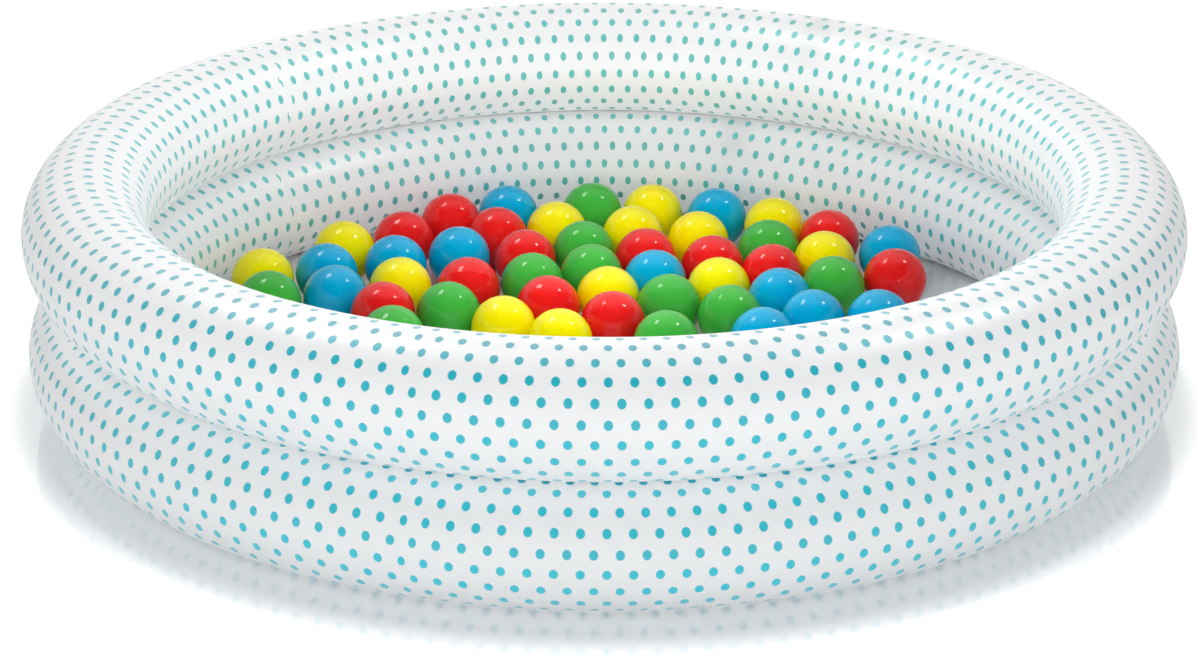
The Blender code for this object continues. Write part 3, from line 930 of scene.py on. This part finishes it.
def ball_centres():
    """Where the balls stand."""
    centres = []
    for name in ball_names():
        low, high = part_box(name)
        centres.append((low + high) / 2)
    return centres


def add_floor_sheet(material):
    """The plain sheet under the pit, with soft creases that keep clear of the balls."""
    low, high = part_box("floor_sheet")
    piece = ring_sheet("floor_sheet_film", 0, high.x, SHEET_RINGS, SHEET_SIDES, low.z, high.z - low.z)
    places = vertex_array(piece.data)
    x, y = places[:, 0], places[:, 1]
    away = np.full(len(places), np.inf)
    for centre in ball_centres():
        away = np.minimum(away, np.hypot(x - centre.x, y - centre.y))
    free = smooth_step(BALL_CLEAR_RADIUS / 2, 2 * BALL_CLEAR_RADIUS, away)
    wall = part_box("lower_tube")[1].x - 2 * TUBE_RADIUS
    inside = smooth_step(wall + TUBE_RADIUS / 2, wall - TUBE_RADIUS / 2, np.hypot(x, y))
    waves = np.sin(23 * x + 9 * y) + np.sin(31 * y - 12 * x + 2) + 0.6 * np.sin(57 * x + 41 * y + 1)
    creases = np.clip(waves / 2.6, 0, 1) ** 2
    places[:, 2] += CREASE_HEIGHT * creases * free * inside
    set_vertices(piece.data, places)
    finish_piece(piece, material, "pit")
    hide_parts("floor_sheet")


def add_weld_band(material):
    """The narrow band between the tubes, slightly wavy where it shows."""
    low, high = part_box("weld_band")
    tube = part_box("upper_tube")[1].x - TUBE_RADIUS
    half = FLAT_HALF_WIDTH + BAND_EDGE
    thickness = high.z - low.z
    piece = ring_sheet("weld_band_film", tube - half, tube + half, BAND_RINGS, BAND_SIDES, low.z, thickness)
    places = vertex_array(piece.data)
    around = np.arctan2(places[:, 1], places[:, 0])
    beyond = np.abs(np.hypot(places[:, 0], places[:, 1]) - tube)
    edge = smooth_step(FLAT_HALF_WIDTH, half, beyond)
    places[:, 2] += BAND_WAVE * edge * np.sin(PUCKER_COUNT * around + 2 * np.sin(5 * around))
    set_vertices(piece.data, places)
    finish_piece(piece, material, "pit")
    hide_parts("weld_band")


# Balls

def ball_form(radius):
    """One ball at the origin: a sphere with a fine raised parting line and a moulding pip at one pole."""
    clear_selection()
    body_radius = radius - PARTING_HEIGHT
    bpy.ops.mesh.primitive_uv_sphere_add(segments=BALL_SIDES, ring_count=BALL_RINGS, radius=body_radius)
    piece = added("ball_form")
    bpy.ops.object.mode_set(mode="EDIT")
    bpy.ops.mesh.select_all(action="DESELECT")
    bpy.ops.mesh.select_mode(type="EDGE")
    form = bmesh.from_edit_mesh(piece.data)
    for edge in form.edges:
        edge.select_set(all(abs(corner.co.z) < PARTING_HEIGHT for corner in edge.verts))
    bmesh.update_edit_mesh(piece.data)
    bpy.ops.mesh.bevel(offset=2 * PARTING_HALF_WIDTH, segments=4, affect="EDGES", profile=0.5)
    form = bmesh.from_edit_mesh(piece.data)
    bpy.ops.mesh.select_all(action="DESELECT")
    for corner in form.verts:
        rise = PARTING_HEIGHT * max(0.0, 1 - abs(corner.co.z) / (1.2 * PARTING_HALF_WIDTH))
        corner.co = corner.co.normalized() * (body_radius + rise)
    bpy.ops.mesh.select_mode(type="VERT")
    for corner in form.verts:
        corner.select_set(corner.co.z > body_radius * POLE_SHARE)
    bmesh.update_edit_mesh(piece.data)
    bpy.ops.mesh.bevel(offset=PIP_RADIUS, segments=1, affect="VERTICES")
    bpy.ops.mesh.inset(thickness=PIP_RADIUS / 4, depth=PIP_HEIGHT)
    bpy.ops.object.mode_set(mode="OBJECT")
    return piece


def add_balls():
    """A ball for each ball of the frame, each turned its own way."""
    materials = {colour: ball_plastic(colour, *pair) for colour, pair in BALL_COLOURS.items()}
    names = ball_names()
    low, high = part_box(names[0])
    form = ball_form((high.z - low.z) / 2)
    turns = random.Random(BALL_TURN_SEED)
    for name, centre in zip(names, ball_centres()):
        mesh = form.data.copy()
        turn = Euler([turns.uniform(0, math.tau) for _ in range(3)]).to_matrix().to_4x4()
        mesh.transform(Matrix.Translation(centre) @ turn)
        ball = bpy.data.objects.new(name + "_moulding", mesh)
        bpy.context.scene.collection.objects.link(ball)
        colour = name.split("_")[0]
        finish_piece(ball, materials[colour], name)
        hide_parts(name)
    bpy.data.objects.remove(form, do_unlink=True)


# Stage

def add_camera():
    """The camera of the photograph."""
    data = bpy.data.cameras.new("camera")
    data.sensor_width = SENSOR_WIDTH
    data.sensor_fit = "HORIZONTAL"
    data.lens = FOCAL_LENGTH_PIXELS * SENSOR_WIDTH / IMAGE_WIDTH
    data.clip_start = NEAR_CLIP
    data.clip_end = 2 * FLOOR_REACH
    camera = bpy.data.objects.new("camera", data)
    camera.location = CAMERA_PLACE
    direction = Vector(CAMERA_AIM) - Vector(CAMERA_PLACE)
    camera.rotation_euler = direction.to_track_quat("-Z", "Y").to_euler()
    bpy.context.scene.collection.objects.link(camera)
    bpy.context.scene.camera = camera


def add_lamps():
    """Panels that shine on the pit, and softboxes that only show in its gloss. The camera sees none."""
    for name, place, target, (across, deep), colour, watts, shines, is_mirrored in LAMPS:
        data = bpy.data.lights.new(name, "AREA")
        data.shape = "ELLIPSE"
        data.size = across
        data.size_y = deep
        data.color = colour
        data.energy = watts
        lamp = bpy.data.objects.new(name, data)
        lamp.location = place
        lamp.visible_camera = False
        lamp.visible_diffuse = shines
        lamp.visible_glossy = is_mirrored
        lamp.rotation_euler = (Vector(target) - Vector(place)).to_track_quat("-Z", "Y").to_euler()
        bpy.context.scene.collection.objects.link(lamp)


def add_world():
    """A light tent with bright walls, which gloss mirrors as a white backdrop and a dark room."""
    world = bpy.data.worlds.new("studio")
    bpy.context.scene.world = world
    world.use_nodes = True
    tree = world.node_tree
    direction = add_node(tree, "ShaderNodeTexCoord").outputs["Generated"]
    towards = add_node(
        tree, "ShaderNodeVectorMath", {"operation": "DOT_PRODUCT"}, {0: direction, 1: BACKDROP_DIRECTION},
    )
    mirrored = add_node(
        tree, "ShaderNodeMapRange", {"interpolation_type": "SMOOTHSTEP"},
        {
            "Value": towards.outputs["Value"], "From Min": BACKDROP_FROM, "From Max": BACKDROP_TO,
            "To Min": ROOM_MIRRORED, "To Max": BACKDROP_MIRRORED,
        },
    )
    height = add_node(tree, "ShaderNodeSeparateXYZ", inputs={"Vector": direction})
    tent = add_node(
        tree, "ShaderNodeMapRange", {"interpolation_type": "SMOOTHSTEP"},
        {
            "Value": height.outputs["Z"], "From Min": TENT_SIDE_TO, "From Max": TENT_TOP_FROM,
            "To Min": TENT_SIDE, "To Max": TENT_TOP,
        },
    )
    path = add_node(tree, "ShaderNodeLightPath")
    strength = add_node(
        tree, "ShaderNodeMapRange",
        inputs={
            "Value": path.outputs["Is Glossy Ray"], "To Min": tent.outputs["Result"],
            "To Max": mirrored.outputs["Result"],
        },
    )
    background = tree.nodes["Background"]
    background.inputs["Color"].default_value = (1, 1, 1, 1)
    tree.links.new(strength.outputs["Result"], background.inputs["Strength"])


def add_floor():
    """Plain white acrylic, smooth and glossy, that keeps the pit's shadow and a faint reflection."""
    clear_selection()
    bpy.ops.mesh.primitive_plane_add(size=2 * FLOOR_REACH, location=(0, 0, -FLOOR_GAP))
    floor = added("studio_floor")
    apply_place(floor)
    material, tree, surface = new_material("white_acrylic_sheet", 2.4)
    surface.inputs["Roughness"].default_value = 0.08
    surface.inputs["Base Color"].default_value = linear("#F8FAFB")
    path = add_node(tree, "ShaderNodeLightPath")
    place = add_node(tree, "ShaderNodeTexCoord").outputs["Object"]
    away = add_node(tree, "ShaderNodeVectorMath", {"operation": "LENGTH"}, {0: place})
    lift = add_node(
        tree, "ShaderNodeMapRange", {"interpolation_type": "SMOOTHSTEP"},
        {
            "Value": away.outputs["Value"], "From Min": FLOOR_LIFT_FROM, "From Max": FLOOR_LIFT_TO,
            "To Min": FLOOR_LIFT_NEAR, "To Max": FLOOR_LIFT,
        },
    )
    glow = add_node(
        tree, "ShaderNodeMapRange", {"interpolation_type": "SMOOTHSTEP"},
        {
            "Value": away.outputs["Value"], "From Min": FLOOR_LIFT_FROM, "From Max": FLOOR_LIFT_TO,
            "To Max": FLOOR_GLOW,
        },
    )
    lifted = add_node(
        tree, "ShaderNodeMath", {"operation": "MULTIPLY"},
        {0: path.outputs["Is Camera Ray"], 1: lift.outputs["Result"]},
    )
    strength = add_node(
        tree, "ShaderNodeMath", {"operation": "MULTIPLY_ADD"},
        {0: path.outputs["Is Diffuse Ray"], 1: glow.outputs["Result"], 2: lifted.outputs[0]},
    )
    seen = add_node(
        tree, "ShaderNodeEmission", inputs={"Color": (1, 1, 1, 1), "Strength": strength.outputs[0]},
    )
    total = add_node(
        tree, "ShaderNodeAddShader", inputs={0: surface.outputs["BSDF"], 1: seen.outputs[0]},
    )
    tree.links.new(total.outputs[0], tree.nodes["Material Output"].inputs["Surface"])
    floor.data.materials.append(material)


def build():
    """Make the whole scene."""
    low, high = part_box("lower_tube")
    lower = Tube("lower_tube", (low.z + high.z) / 2, *LOWER_PRINT)
    low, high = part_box("upper_tube")
    upper = Tube("upper_tube", high.z - TUBE_RADIUS, *UPPER_PRINT)
    film = printed_film()
    moulded = soft_pvc()
    add_tube(lower, film, True)
    add_tube(upper, film, False)
    add_weld_band(plain_film("welded_band_film", "#F9FBFC", "#F4F7F8", 0.35, 1.0))
    add_floor_sheet(plain_film("plain_floor_film", "#F8FAFB", "#F1F4F5", 0.25, 0.0))
    for tube in (lower, upper):
        add_flange(tube, moulded)
        add_neck(tube, moulded)
        add_plug(tube, moulded)
        add_flap(tube, moulded)
    add_balls()
    add_camera()
    add_lamps()
    add_world()
    add_floor()
    bpy.context.scene.view_settings.view_transform = "Standard"


build()
